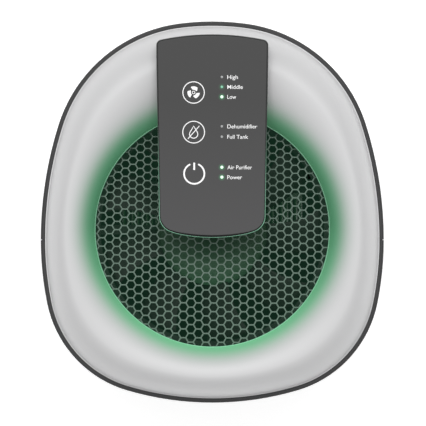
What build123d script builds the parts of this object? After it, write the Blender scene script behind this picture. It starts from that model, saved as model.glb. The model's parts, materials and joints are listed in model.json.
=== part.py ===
from build123d import *
import math
import os

# Compact thermoelectric dehumidifier and air purifier: a dark egg-shaped tower with a
# silver ring on top, whose bowl falls to a round honeycomb outlet, and a touch console
# that reaches from the back of the ring over the outlet.
# Frame: +Z up, -Y is the user's side, origin under the middle of the outline, on the floor.
# All sizes are in millimetres.

# ---- outline seen from above: three tangent arcs to each quarter ----
HALF_WIDTH = 108.0
REAR_LENGTH = 137.5
FRONT_LENGTH = 102.5
WIDEST_Y = (FRONT_LENGTH - REAR_LENGTH) / 2
REAR_RADII = (240.0, 92.0, 160.0)
FRONT_RADII = (200.0, 72.0, 190.0)

# ---- casing ----
FOOT_HEIGHT = 4.0
SHELL_BOTTOM = 6.0
BASE_TOP = 8.0
RIM_Z = 312.0
RIM_ROUND = 1.2
DRAFT = 5.0
WALL = 2.4
FIT_GAP = 0.3
SLIDE_GAP = 0.6
SEAM = 0.4
LEDGE_THICK = 3.0
LEDGE_WIDTH = 4.0
DECK_Z = 112.0
FAN_DECK_Z = 272.0
DECK_THICK = 3.0
COVER_SEAT_Z = 302.0
FAR = 400.0
FOOT_R = 9.0
FOOT_PLACES = ((-66, -66), (66, -66), (-62, 62), (62, 62))
PLINTH_INSET = DRAFT + 1.5
TANK_GUIDE_X = (84.8, 87.2)
TANK_RUNNER_X = (40.0, 46.0)
CABLE_HOLE_R = 4.0

# ---- silver ring and outlet ----
COVER_THICK = 2.4
CREST_Z = 332.0
CREST_SHARE = 0.42
OUTER_STEEP = 0.85
INNER_STEEP = 0.93
BOWL_EDGE_Z = 317.0
LIP_BOTTOM_Z = 313.2
GRILLE_Y = -11.2
LIP_R = 74.2
LIP_TRIM = 0.8
GRILLE_TOP = 311.4
GRILLE_THICK = 1.6
GRILLE_RIM_R = 79.5
CELL_PITCH = 10.5
CELL_BAR = 1.7
BOSS_RING_R = 87.5
BOSS_R = 3.6
SECTION_POINTS = 40
COVER_SCREWS = 6
LED_COUNT = 24
LED_BOARD_Z = (314.3, 315.3)

# ---- console ----
CONSOLE_REAR_Y = 111.4
CONSOLE_TIP_Y = -15.4
CONSOLE_HALF_REAR = 34.3
CONSOLE_HALF_TIP = 32.4
CONSOLE_REAR_R = 158.0
CONSOLE_TIP_R = 103.0
CONSOLE_TOP = 345.0
CONSOLE_BOTTOM = 328.0
CONSOLE_TILT = 1.5
PLATE_THICK = 2.4
PLATE_STAND = 1.2
TOUCH_BOARD_Z = (338.0, 339.6)
LIP_WIDTH = 0.8
KEY_X = -11.6
KEY_YS = (74.8, 50.0, 24.0)
LIGHT_X = 6.0
LIGHTS_OFF_YS = (84.5, 53.6, 47.1)
LIGHTS_DIM_YS = (78.3,)
LIGHTS_ON_YS = (72.1, 28.0, 21.8)
LIGHT_R = 1.0
POST_X, POST_Y, POST_R = 22.0, 98.0, 5.0

# ---- water tank ----
TANK_HALF = 84.0
TANK_REAR_Y = 50.0
TANK_WALL = 2.2
TANK_CORNER_R = 12.0
TANK_BOTTOM = 10.0
TANK_TOP = 104.0
LID_THICK = 2.0
POCKET_HALF = 34.0
POCKET_Z = 84.0
POCKET_DEPTH = 20.0
NOTCH_HALF = 30.0
NOTCH_Z = 92.0
TANK_DOOR_HALF = 87.4
TANK_DOOR_LOW, TANK_DOOR_HIGH = 8.6, 107.4
DRIP_X, DRIP_Y = 0.0, 30.0
DRIP_R = 4.5
DRIP_TUBE_R = 6.2
FLOAT_X, FLOAT_Y, FLOAT_R = 52.0, 22.0, 16.0
POST_TOP = 98.0
MAGNET_Z = (27.0, 30.0)
MAGNET_R = (11.0, 7.0)

# ---- filter drawer ----
FILTER_DOOR_HALF = 70.0
FILTER_DOOR_LOW, FILTER_DOOR_HIGH = 120.0, 267.0
FRAME_HALF = 66.0
FRAME_LOW, FRAME_HIGH = 124.0, 264.0
FRAME_WALL = 3.5
CARTRIDGE_Y = (64.0, 86.0)
CARBON_Y = (87.0, 92.5)
PRE_FILTER_Y = (93.0, 94.5)
LOUVRES = 12
LOUVRE_PITCH = 8.6
LOUVRE_SLOT = 3.6
LOUVRE_HALF = 52.0
LOUVRE_LOW = 130.0
GRIP_HALF, GRIP_LOW, GRIP_HIGH = 26.0, 241.0, 255.0
PLEAT_PITCH = 5.0
PLEAT_THICK = 0.8

# ---- cooling stack ----
SINK_BASE = 4.0
FIN_THICK = 0.9
HOT_Y = (-12.5, 12.0)
HOT_HALF, HOT_PITCH = 57.0, 3.0
COLD_Y = (15.6, 45.0)
COLD_HALF, COLD_PITCH = 44.0, 4.0
SINK_LOW, SINK_HIGH = 160.0, 262.0
MODULE = 40.0
MODULE_Z = 211.0
GASKET = 60.0
DIVIDER_Y = (12.3, 15.3)

# ---- fan ----
FAN_R = 70.5
FAN_FRAME_R = 74.5
FAN_TOP = 303.0
HUB_R = 35.0
HUB_BOTTOM = 282.0
HUB_WALL = 3.0
BLADES = 9
FIRST_BLADE = -7.0
BLADE_TIP_R = 69.4
SHAFT_R = 1.5
EAR_RING_R = 80.0
EAR_R = 6.0
EAR_THICK = 4.0
MOTOR_BASE_R = 20.0
BEARING_TUBE_R = 4.5
BEARING_R = 2.6
STATOR_R = 24.0
BLADE_Z = 291.5

# ---- electronics ----
BOARD_X, BOARD_Y = (-50.0, 50.0), (56.0, 90.0)
BOARD_Z = 22.0
BOARD_THICK = 1.6
BOARD_INSET = (6.0, 5.0)
JACK_X, JACK_Z = 25.0, 30.0
JACK_R = 4.0
JACK_BORE_R = 2.8

# ---- fasteners ----
SCREW_R = 1.45
HOLE_R = 1.5
HEAD_R = 2.8
HEAD_HEIGHT = 1.8
BOSS_PLACES = ((-93, -42), (93, -42), (-92, 8), (92, 8), (-48, 97), (48, 97))
CONSOLE_BOARD_SCREWS = ((-26, 4), (26, 4), (-27, 88), (27, 88))
CABLE_X, CABLE_Y, CABLE_R = 81.0, 58.0, 1.3
CONSOLE_CABLE_X, CONSOLE_CABLE_Y = -12.0, 92.0


# ================= outline =================
def arc_centres(length, radii):
    """Centres of the side, corner and cap arcs of one quarter, from the widest line."""
    side_r, corner_r, cap_r = radii
    side = Vector(HALF_WIDTH - side_r, 0)
    cap = Vector(0, length - cap_r)
    gap = (cap - side).length
    unit = (cap - side) / gap
    along = (gap**2 + (side_r - corner_r) ** 2 - (cap_r - corner_r) ** 2) / (2 * gap)
    across = math.sqrt((side_r - corner_r) ** 2 - along**2)
    corner = side + unit * along + Vector(-unit.Y, unit.X) * across
    return side, corner, cap


def arc_turns(centres):
    """The two directions where the side arc meets the corner arc, and the corner arc the cap."""
    side, corner, cap = centres
    return (
        math.atan2(corner.Y - side.Y, corner.X - side.X),
        math.atan2(corner.Y - cap.Y, corner.X - cap.X),
    )


QUARTERS = {
    1: (arc_centres(REAR_LENGTH, REAR_RADII), REAR_RADII),
    -1: (arc_centres(FRONT_LENGTH, FRONT_RADII), FRONT_RADII),
}


def outline(inset, z=0.0):
    """The tower's outline moved inwards by inset, as a closed wire at height z."""
    edges = []
    for end, (centres, radii) in QUARTERS.items():
        first, second = arc_turns(centres)
        spans = ((0.0, first), (first, second), (second, math.pi / 2))
        for across in (1, -1):
            for centre, radius, span in zip(centres, radii, spans):
                points = []
                for angle in (span[0], sum(span) / 2, span[1]):
                    x = centre.X + (radius - inset) * math.cos(angle)
                    y = centre.Y + (radius - inset) * math.sin(angle)
                    points.append(Vector(across * x, WIDEST_Y + end * y, z))
                edges.append(Edge.make_three_point_arc(*points))
    return Wire.combine(edges)[0]


def edge_distance(x, y):
    """Signed distance from a point to the outline, negative inside."""
    end = 1 if y >= WIDEST_Y else -1
    centres, radii = QUARTERS[end]
    point = Vector(abs(x), end * (y - WIDEST_Y))
    first, second = arc_turns(centres)
    angle = math.atan2(point.Y - centres[1].Y, point.X - centres[1].X)
    which = 0 if angle < first else 2 if angle > second else 1
    return (point - centres[which]).length - radii[which]


def reach(direction, inset):
    """Distance from the outlet's centre to the outline along a direction."""
    low, high = LIP_R, FAR
    for _ in range(50):
        middle = (low + high) / 2
        x, y = middle * math.cos(direction), GRILLE_Y + middle * math.sin(direction)
        if edge_distance(x, y) < -inset:
            low = middle
        else:
            high = middle
    return low


# ================= small helpers =================
def box(x, y, z):
    """A box from its low and high values along each axis."""
    size = [b - a for a, b in (x, y, z)]
    middle = [(a + b) / 2 for a, b in (x, y, z)]
    return Pos(*middle) * Box(*size)


def rod(x, y, z, radius, along="Z"):
    """A cylinder; the axis named in along has a low and a high value."""
    if along == "Z":
        return Pos(x, y, sum(z) / 2) * Cylinder(radius, z[1] - z[0])
    if along == "Y":
        return Pos(x, sum(y) / 2, z) * Rot(90, 0, 0) * Cylinder(radius, y[1] - y[0])
    return Pos(sum(x) / 2, y, z) * Rot(0, 90, 0) * Cylinder(radius, x[1] - x[0])


def tube(x, y, z, outer, inner):
    return rod(x, y, z, outer) - rod(x, y, (z[0] - 1, z[1] + 1), inner)


def tube_y(x, y, z, outer, inner):
    """A tube that lies along Y."""
    return rod(x, y, z, outer, "Y") - rod(x, (y[0] - 1, y[1] + 1), z, inner, "Y")


def skin_inset(z):
    """How far the drafted skin stands in from the rim's outline at a height."""
    return DRAFT * (RIM_Z - z) / (RIM_Z - SHELL_BOTTOM)


def body_block(inset, low, high):
    """The space inside the drafted skin, less inset, between two heights."""
    wires = [outline(skin_inset(z) + inset, z) for z in (low, high)]
    return Solid.make_loft(wires, ruled=True)


def prism(wire, low, high):
    return Solid.extrude(Face(wire).moved(Location((0, 0, low))), Vector(0, 0, high - low))


def ring_points(count, radius, start=0.0):
    """Places on a circle about the outlet's axis."""
    for k in range(count):
        angle = math.radians(start + 360 * k / count)
        yield radius * math.cos(angle), GRILLE_Y + radius * math.sin(angle)


def screw(x, y, face_z, length, up):
    """A pan-head screw whose head stands on face_z; up is +1 if the shank rises from it."""
    head = rod(x, y, sorted((face_z, face_z - up * HEAD_HEIGHT)), HEAD_R)
    shank = rod(x, y, sorted((face_z, face_z + up * length)), SCREW_R)
    slot_z = sorted((face_z - up * HEAD_HEIGHT, face_z - up * (HEAD_HEIGHT - 0.9)))
    slot = box((x - 1.8, x + 1.8), (y - 0.35, y + 0.35), slot_z)
    slot += box((x - 0.35, x + 0.35), (y - 1.8, y + 1.8), slot_z)
    return head + shank - slot


def node(name, *shapes):
    """Writes one node; several shapes become separate solids of it."""
    solids = [s for shape in shapes for s in shape.solids()]
    whole = solids[0] if len(solids) == 1 else Compound(children=solids)
    whole.label = name
    export_step(whole, f"parts/{name}.step")
    print(name, len(solids), round(sum(s.volume for s in solids)))


# ================= casing =================
def casing():
    """The whole drafted wall with its inner ledges, before it is split and opened."""
    rounding = ((0.0, RIM_ROUND), (RIM_ROUND * 0.3, RIM_ROUND * 0.3), (RIM_ROUND, 0.0))
    wires = [outline(DRAFT, SHELL_BOTTOM)]
    wires += [outline(skin_inset(RIM_Z - down) + inset, RIM_Z - down) for inset, down in rounding]
    outer = Solid.make_loft(wires, ruled=True)
    wall = outer - body_block(WALL, SHELL_BOTTOM - 1, RIM_Z + 1)
    for top in (DECK_Z, FAN_DECK_Z, COVER_SEAT_Z):
        low = top - LEDGE_THICK
        ledge = body_block(WALL - 0.5, low, top) - body_block(WALL + LEDGE_WIDTH, low - 1, top + 1)
        wall += ledge
    for boss in shell_bosses():
        wall += boss
    return wall


def front_shell(wall):
    half = box((-FAR, FAR), (-FAR, WIDEST_Y - SEAM / 2), (0, FAR))
    opening = TANK_DOOR_HALF + SLIDE_GAP
    mouth = box((-opening, opening), (-FAR, 0), (0, TANK_DOOR_HIGH + SLIDE_GAP))
    return wall & half - mouth


def rear_shell(wall):
    half = box((-FAR, FAR), (WIDEST_Y + SEAM / 2, FAR), (0, FAR))
    opening = FILTER_DOOR_HALF + SLIDE_GAP
    mouth = box(
        (-opening, opening),
        (CARTRIDGE_Y[0], FAR),
        (FILTER_DOOR_LOW - SLIDE_GAP, FILTER_DOOR_HIGH + SLIDE_GAP),
    )
    return (wall & half) - mouth - rod(JACK_X, (90, FAR), JACK_Z, JACK_R + FIT_GAP, "Y")


def base_tray():
    """The floor of the tower, with the tank's guides and runners and the board's posts."""
    tray = prism(outline(PLINTH_INSET), FOOT_HEIGHT, SHELL_BOTTOM)
    tray += body_block(WALL + FIT_GAP, SHELL_BOTTOM, BASE_TOP)
    for side in (-1, 1):
        guide_x = sorted(side * x for x in TANK_GUIDE_X)
        runner_x = sorted(side * x for x in TANK_RUNNER_X)
        tray += box(guide_x, (-70, TANK_REAR_Y), (BASE_TOP, BASE_TOP + 5))
        tray += box(runner_x, (-95, TANK_REAR_Y - 2), (BASE_TOP, TANK_BOTTOM - FIT_GAP))
    for x, y in board_places():
        tray += tube(x, y, (BASE_TOP, BOARD_Z), 3.2, 1.2)
    for x, y in FOOT_PLACES:
        tray -= rod(x, y, (FOOT_HEIGHT, FOOT_HEIGHT + 1), FOOT_R + 0.2)
    for x, y in BOSS_PLACES:
        tray -= rod(x, y, (0, FAR), HOLE_R + 0.2)
    return tray


def rubber_feet():
    feet = []
    for x, y in FOOT_PLACES:
        foot = rod(x, y, (0, FOOT_HEIGHT + 1), FOOT_R)
        feet.append(foot.fillet(1.0, [e for e in foot.edges() if e.center().Z < 0.1]))
    return feet


def base_screws():
    """Screws through the tray into the shells' bosses, heads under the tray."""
    return [screw(x, y, FOOT_HEIGHT, 12, 1) for x, y in BOSS_PLACES]


def shell_bosses():
    """Posts inside the shells that take the tray's screws."""
    low, high = BASE_TOP + 0.1, 24
    posts = []
    for x, y in BOSS_PLACES:
        outward = Vector(x, y).normalized() * 8
        post = rod(x, y, (low, high), 3.6)
        web = Pos(x + outward.X / 2, y + outward.Y / 2, (low + high) / 2)
        turn = Rot(0, 0, math.degrees(math.atan2(y, x)))
        post += web * turn * Box(8, 3, high - low)
        post = post & body_block(WALL - 0.5, low, high)
        posts.append(post - rod(x, y, (low - 1, high - 4), HOLE_R))
    return posts


def mid_deck():
    """Floor of the cooling chamber, over the tank."""
    deck = body_block(WALL + FIT_GAP, DECK_Z, DECK_Z + DECK_THICK)
    deck -= rod(DRIP_X, DRIP_Y, (DECK_Z - 1, DECK_Z + 5), 7.0)
    for x in (-CABLE_X, CABLE_X):
        deck -= rod(x, CABLE_Y, (DECK_Z - 1, DECK_Z + 5), CABLE_HOLE_R)
    return deck


def console_underside(y):
    """Height of the tilted console's underside."""
    return CONSOLE_BOTTOM - (CONSOLE_REAR_Y - y) * math.tan(math.radians(CONSOLE_TILT))


def fan_deck():
    """Shelf that carries the fan, with the two posts that the console is screwed to."""
    deck = body_block(WALL + FIT_GAP, FAN_DECK_Z, FAN_DECK_Z + DECK_THICK)
    top = FAN_DECK_Z + DECK_THICK
    deck -= rod(0, GRILLE_Y, (FAN_DECK_Z - 1, top + 1), FAN_R)
    deck -= rod(-CABLE_X, CABLE_Y, (FAN_DECK_Z - 1, top + 1), CABLE_HOLE_R)
    for x, y in ring_points(4, EAR_RING_R, 45):
        deck -= rod(x, y, (FAN_DECK_Z - 1, top + 1), SCREW_R)
    post_top = console_underside(POST_Y - POST_R) - 0.2
    for x in (-POST_X, POST_X):
        deck += rod(x, POST_Y, (top - 1, post_top), POST_R)
        deck -= rod(x, POST_Y, (FAN_DECK_Z - 1, FAR), HOLE_R)
    return deck


# ================= silver ring =================
def ring_height(share):
    """Height of the ring's skin from its outer edge, share 0, to the bowl's edge, share 1."""
    if share < CREST_SHARE:
        lean = OUTER_STEEP * (CREST_SHARE - share) / CREST_SHARE
        low, full = RIM_Z, 1 - math.sqrt(1 - OUTER_STEEP**2)
    else:
        lean = INNER_STEEP * (share - CREST_SHARE) / (1 - CREST_SHARE)
        low, full = BOWL_EDGE_Z, 1 - math.sqrt(1 - INNER_STEEP**2)
    return CREST_Z - (CREST_Z - low) * (1 - math.sqrt(1 - lean**2)) / full


def ring_section(share, inset, inner_r, z):
    """A closed curve round the ring, share of the way from the outline to the bowl's edge."""
    points = []
    for k in range(SECTION_POINTS):
        direction = 2 * math.pi * k / SECTION_POINTS
        outer_r = reach(direction, inset)
        radius = outer_r + (inner_r - outer_r) * share
        points.append((radius * math.cos(direction), GRILLE_Y + radius * math.sin(direction), z))
    return Wire([Edge.make_spline([Vector(*p) for p in points], periodic=True)])


def ring_hill(thick):
    """The solid under the ring's skin, pushed in by thick."""
    shares = (0, 0.05, 0.13, 0.26, CREST_SHARE, 0.58, 0.74, 0.88, 1)
    inset = WALL + FIT_GAP + thick
    sections = []
    for share in shares:
        z = ring_height(share) - thick
        sections.append(ring_section(share, inset, LIP_R - LIP_TRIM + thick, z))
    return Solid.make_loft(sections)


def top_cover():
    """The ring's skin with its skirt, the lip round the outlet and the grille's bosses."""
    hill = ring_hill(0)
    lip_outer = LIP_R + COVER_THICK + 0.6
    ring = hill - rod(0, GRILLE_Y, (0, FAR), LIP_R)
    hollow = ring_hill(COVER_THICK) - rod(0, GRILLE_Y, (0, FAR), lip_outer)
    cover = ring - hollow - tube(0, GRILLE_Y, (RIM_Z - 1, LIP_BOTTOM_Z), lip_outer + 0.1, LIP_R - 1)
    outer, inner = WALL + FIT_GAP + 0.4, WALL + FIT_GAP + 2.0
    seat, top = COVER_SEAT_Z, RIM_Z + 0.8
    cover += body_block(outer, seat, top) - body_block(inner, seat - 1, top + 1)
    cover -= console_space(0.15)
    under_skin = hill.moved(Location((0, 0, -0.6)))
    for x, y in ring_points(COVER_SCREWS, BOSS_RING_R, 30):
        boss = rod(x, y, (GRILLE_TOP + 0.1, CREST_Z), BOSS_R) & under_skin
        cover += boss - console_space(0.15)
        cover -= rod(x, y, (0, GRILLE_TOP + 8), HOLE_R)
    for x in (-POST_X, POST_X):
        cover -= rod(x, POST_Y, (0, FAR), POST_R + FIT_GAP)
    return cover


def outlet_grille():
    """Honeycomb plate; the cells are drawn at twice the real pitch."""
    across = CELL_PITCH - CELL_BAR
    corner_r = across / math.sqrt(3)
    column = CELL_PITCH * math.sqrt(3) / 2
    count = int(LIP_R / column) + 2
    cells = []
    for i in range(-count, count + 1):
        for j in range(-count, count + 1):
            x, y = i * column, GRILLE_Y + (j + (i % 2) / 2) * CELL_PITCH
            if math.hypot(x, y - GRILLE_Y) + corner_r < GRILLE_RIM_R - 1:
                turns = [math.radians(60 * k) for k in range(6)]
                corners = [(x + corner_r * math.cos(t), y + corner_r * math.sin(t)) for t in turns]
                cells.append(Wire.make_polygon([Vector(*c, 0) for c in corners], close=True))
    rim = Wire.make_circle(GRILLE_RIM_R, Plane(origin=(0, GRILLE_Y, 0)))
    low = GRILLE_TOP - GRILLE_THICK
    plate = Solid.extrude(Face(rim, cells).moved(Location((0, 0, low))), Vector(0, 0, GRILLE_THICK))
    for x, y in ring_points(COVER_SCREWS, BOSS_RING_R, 30):
        ear = rod(x, y, (low, GRILLE_TOP), 4.5)
        ear += Pos(0, GRILLE_Y, 0) * Rot(0, 0, math.degrees(math.atan2(y - GRILLE_Y, x))) * box(
            (GRILLE_RIM_R - 1.5, BOSS_RING_R), (-4.5, 4.5), (low, GRILLE_TOP)
        )
        plate = plate + ear - rod(x, y, (0, FAR), HOLE_R + 0.2)
    return plate


def grille_screws():
    low = GRILLE_TOP - GRILLE_THICK
    return [screw(x, y, low, 7, 1) for x, y in ring_points(COVER_SCREWS, BOSS_RING_R, 30)]


def light_guide():
    """Clear ring whose thin upright edge shows as a bright line round the outlet."""
    flange = tube(0, GRILLE_Y, (GRILLE_TOP + 0.2, LIP_BOTTOM_Z - 0.1), GRILLE_RIM_R - 0.5, LIP_R - 0.8)
    return flange + tube(0, GRILLE_Y, (GRILLE_TOP + 0.2, BOWL_EDGE_Z + 0.4), LIP_R - 0.1, LIP_R - 0.8)


def led_ring_board():
    return tube(0, GRILLE_Y, LED_BOARD_Z, 81.5, 77.3)


def ring_leds():
    leds = []
    for k in range(LED_COUNT):
        turn = Pos(0, GRILLE_Y, 0) * Rot(0, 0, 360 * k / LED_COUNT)
        leds.append(turn * box((77.5, 79.0), (-1.5, 1.5), (LIP_BOTTOM_Z, LED_BOARD_Z[0])))
    return leds


# ================= console =================
def sag(radius, half):
    return radius - math.sqrt(radius**2 - half**2)


def console_plan(grow):
    """The console's outline from above, grown by grow."""
    rear_half, tip_half = CONSOLE_HALF_REAR + grow, CONSOLE_HALF_TIP + grow
    rear_y, tip_y = CONSOLE_REAR_Y + grow, CONSOLE_TIP_Y - grow
    rear_side = rear_y - sag(CONSOLE_REAR_R + grow, rear_half)
    tip_side = tip_y + sag(CONSOLE_TIP_R + grow, tip_half)
    edges = [
        Edge.make_three_point_arc((-rear_half, rear_side), (0, rear_y), (rear_half, rear_side)),
        Edge.make_line((rear_half, rear_side), (tip_half, tip_side)),
        Edge.make_three_point_arc((tip_half, tip_side), (0, tip_y), (-tip_half, tip_side)),
        Edge.make_line((-tip_half, tip_side), (-rear_half, rear_side)),
    ]
    plan = Face(Wire(edges))
    corners = plan.vertices()
    plan = plan.fillet_2d(3.0 + grow / 2, [v for v in corners if v.Y > 0])
    corners = plan.vertices().sort_by(Axis.Y)
    tips = [v for v in corners if abs(v.Y - tip_side) < 0.01]
    return plan.fillet_2d(10.0 + grow / 2, tips)


def tilted(shape):
    """Turns a console piece down towards the user about the console's back edge."""
    there = Location((0, CONSOLE_REAR_Y, CONSOLE_TOP))
    back = Location((0, -CONSOLE_REAR_Y, -CONSOLE_TOP))
    return (there * Location((0, 0, 0), (CONSOLE_TILT, 0, 0)) * back) * shape


def slab(grow, low, high):
    return Solid.extrude(console_plan(grow).moved(Location((0, 0, low))), Vector(0, 0, high - low))


def console_space(gap):
    return tilted(slab(LIP_WIDTH + gap, CONSOLE_BOTTOM - gap, CONSOLE_TOP + 30))


def console_housing():
    rim_z = CONSOLE_TOP - PLATE_STAND
    seat_z = CONSOLE_TOP - PLATE_THICK
    block = slab(LIP_WIDTH, CONSOLE_BOTTOM, rim_z)
    under = [e for e in block.edges() if abs(e.center().Z - CONSOLE_BOTTOM) < 0.1]
    block = block.fillet(3.0, under)
    block -= slab(0.05, seat_z, CONSOLE_TOP)
    block -= slab(-1.8, CONSOLE_BOTTOM + 2, seat_z + 1)
    for x, y in CONSOLE_BOARD_SCREWS:
        block += tube(x, y, (CONSOLE_BOTTOM + 1, TOUCH_BOARD_Z[0] - 0.1), 3.4, HOLE_R)
    for x in (-POST_X, POST_X):
        block -= rod(x, POST_Y, (0, FAR), HOLE_R + 0.4)
    block -= rod(CONSOLE_CABLE_X, CONSOLE_CABLE_Y, (0, FAR), 3.0)
    return tilted(block)


def light_places():
    return [(LIGHT_X, y) for y in LIGHTS_OFF_YS + LIGHTS_DIM_YS + LIGHTS_ON_YS]


def console_panel():
    plate = slab(0, CONSOLE_TOP - PLATE_THICK, CONSOLE_TOP)
    top = [e for e in plate.edges() if abs(e.center().Z - CONSOLE_TOP) < 0.01]
    plate = plate.chamfer(0.5, None, top)
    for x, y in light_places():
        plate -= rod(x, y, (0, FAR), LIGHT_R + 0.05)
    return tilted(plate)


def touch_board():
    board = slab(-4, *TOUCH_BOARD_Z)
    for x, y in CONSOLE_BOARD_SCREWS:
        board -= rod(x, y, (0, FAR), HOLE_R + 0.1)
    return tilted(board)


def touch_springs():
    span = (TOUCH_BOARD_Z[1], CONSOLE_TOP - PLATE_THICK)
    return [tilted(tube(KEY_X, y, span, 5.5, 4.2)) for y in KEY_YS]


def indicator_lights(ys):
    return [tilted(rod(LIGHT_X, y, (TOUCH_BOARD_Z[1], CONSOLE_TOP), LIGHT_R)) for y in ys]


def board_screws():
    """Screws that hold the touch board inside the console."""
    return [tilted(screw(x, y, TOUCH_BOARD_Z[1], 5, -1)) for x, y in CONSOLE_BOARD_SCREWS]


def console_screws():
    return [screw(x, POST_Y, FAN_DECK_Z, 58, 1) for x in (-POST_X, POST_X)]


# ================= fan =================
def fan_frame():
    """Fan ring with four screw ears, and arms that carry the motor's base and bearing tube."""
    low = FAN_DECK_Z + DECK_THICK
    ear_top = low + EAR_THICK
    frame = tube(0, GRILLE_Y, (low, FAN_TOP), FAN_FRAME_R, FAN_R)
    for x, y in ring_points(4, EAR_RING_R, 45):
        frame += rod(x, y, (low, ear_top), EAR_R) - rod(0, GRILLE_Y, (low - 1, ear_top + 1), FAN_R)
        frame -= rod(x, y, (low - 1, ear_top + 1), HOLE_R)
    arm = box((MOTOR_BASE_R - 4, FAN_R + 1), (-3, 3), (low, low + 3.5))
    for turn in (0, 90, 180, 270):
        frame += Pos(0, GRILLE_Y, 0) * Rot(0, 0, turn) * arm
    frame += rod(0, GRILLE_Y, (low, ear_top), MOTOR_BASE_R)
    frame += rod(0, GRILLE_Y, (low, low + 17), BEARING_TUBE_R)
    return frame - rod(0, GRILLE_Y, (low + 1, FAR), BEARING_R)


def fan_bearings():
    low = FAN_DECK_Z + DECK_THICK
    spans = ((low + 2, low + 6), (low + 12, low + 16))
    return [tube(0, GRILLE_Y, span, BEARING_R, SHAFT_R + 0.05) for span in spans]


def fan_motor_stator():
    low = FAN_DECK_Z + DECK_THICK + 9
    core = tube(0, GRILLE_Y, (low, low + 7), STATOR_R, BEARING_TUBE_R + 0.05)
    for k in range(6):
        slot = box((9, STATOR_R + 1), (-2.2, 2.2), (low - 1, low + 8))
        core -= Pos(0, GRILLE_Y, 0) * Rot(0, 0, 60 * k) * slot
    return core


def fan_blade():
    """One twisted blade from the hub to the tip, at the +X side of the axis."""
    sections = []
    for radius, pitch, chord in ((HUB_R - 1.5, 38, 21), (52, 31, 26), (BLADE_TIP_R, 25, 30)):
        plane = Plane(origin=(radius, 0, BLADE_Z), x_dir=(0, 1, 0), z_dir=(1, 0, 0))
        sections.append(plane * Rot(0, 0, pitch) * Rectangle(chord, 1.8))
    return loft(sections)


def fan_rotor():
    """Open-bottomed hub with its blades, and a socket inside for the shaft."""
    top = FAN_TOP - 2
    hub = rod(0, 0, (HUB_BOTTOM, top), HUB_R)
    crown = [e for e in hub.edges() if abs(e.center().Z - top) < 0.1]
    hub = hub.fillet(5, crown)
    blade = fan_blade()
    for k in range(BLADES):
        hub += Rot(0, 0, FIRST_BLADE + 360 * k / BLADES) * blade
    hub -= rod(0, 0, (0, top - HUB_WALL), HUB_R - HUB_WALL)
    hub += rod(0, 0, (top - 6, top - 1), 4.0)
    hub -= rod(0, 0, (0, top - 1), SHAFT_R)
    return Pos(0, GRILLE_Y, 0) * (hub & rod(0, 0, (HUB_BOTTOM, FAN_TOP), BLADE_TIP_R))


def fan_magnet():
    return tube(0, GRILLE_Y, (HUB_BOTTOM + 1, HUB_BOTTOM + 13), HUB_R - HUB_WALL, 26)


def fan_shaft():
    return rod(0, GRILLE_Y, (FAN_DECK_Z + DECK_THICK + 2, FAN_TOP - 3), SHAFT_R)


def fan_screws():
    top = FAN_DECK_Z + DECK_THICK + EAR_THICK
    return [screw(x, y, top, 6, -1) for x, y in ring_points(4, EAR_RING_R, 45)]


# ================= cooling stack =================
def heat_sink(half, pitch, back_y, join_y, tip_y):
    """A plate from back_y to join_y whose fins reach on to tip_y."""
    count = int(2 * half / pitch)
    points = [(-half, back_y)]
    for k in range(count + 1):
        x = -half + (2 * half - FIN_THICK) * k / count
        points += [(x, join_y), (x, tip_y), (x + FIN_THICK, tip_y), (x + FIN_THICK, join_y)]
    points.append((half, back_y))
    profile = Wire.make_polygon([Vector(x, y, SINK_LOW) for x, y in points], close=True)
    return Solid.extrude(Face(profile), Vector(0, 0, SINK_HIGH - SINK_LOW))


def sink_screw_places():
    return [(x, MODULE_Z + z) for x in (-34, 34) for z in (-20, 20)]


def hot_sink():
    sink = heat_sink(HOT_HALF, HOT_PITCH, HOT_Y[1], HOT_Y[1] - SINK_BASE, HOT_Y[0])
    for x, z in sink_screw_places():
        sink -= rod(x, (HOT_Y[0] - 1, HOT_Y[1] + 1), z, HOLE_R, "Y")
    return sink


def cold_sink():
    sink = heat_sink(COLD_HALF, COLD_PITCH, COLD_Y[0], COLD_Y[0] + SINK_BASE, COLD_Y[1])
    for x, z in sink_screw_places():
        sink -= rod(x, (COLD_Y[0] - 1, COLD_Y[1] + 1), z, HEAD_R + 0.4, "Y")
        sink += tube_y(x, (COLD_Y[0], COLD_Y[0] + SINK_BASE), z, HEAD_R + 0.4, HOLE_R)
    return sink


def sink_screws():
    """Screws through the cold sink and divider into the hot sink's base."""
    screws = []
    head_y = COLD_Y[0] + SINK_BASE
    for x, z in sink_screw_places():
        head = rod(x, (head_y, head_y + HEAD_HEIGHT), z, HEAD_R, "Y")
        shank = rod(x, (HOT_Y[1] - SINK_BASE, head_y), z, SCREW_R, "Y")
        screws.append(head + shank)
    return screws


def peltier_module():
    half = MODULE / 2
    return box((-half, half), (HOT_Y[1], COLD_Y[0]), (MODULE_Z - half, MODULE_Z + half))


def insulation_gasket():
    outer, inner = GASKET / 2, MODULE / 2 + FIT_GAP
    frame = box((-outer, outer), DIVIDER_Y, (MODULE_Z - outer, MODULE_Z + outer))
    return frame - box((-inner, inner), (0, 30), (MODULE_Z - inner, MODULE_Z + inner))


def divider_wall():
    low, high = DECK_Z + DECK_THICK, FAN_DECK_Z
    under_ledge = high - LEDGE_THICK - 0.2
    wall = body_block(WALL + SLIDE_GAP, low, under_ledge)
    wall += body_block(WALL + LEDGE_WIDTH + SLIDE_GAP, under_ledge - 1, high)
    wall &= box((-FAR, FAR), DIVIDER_Y, (0, FAR))
    window = GASKET / 2
    wall -= box((-window, window), (0, 30), (MODULE_Z - window, MODULE_Z + window))
    wall -= box((-70, 70), (0, 30), (low + 3, low + 33))
    for x, z in sink_screw_places():
        wall -= rod(x, (0, 30), z, HOLE_R + 0.5, "Y")
    return wall


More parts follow.
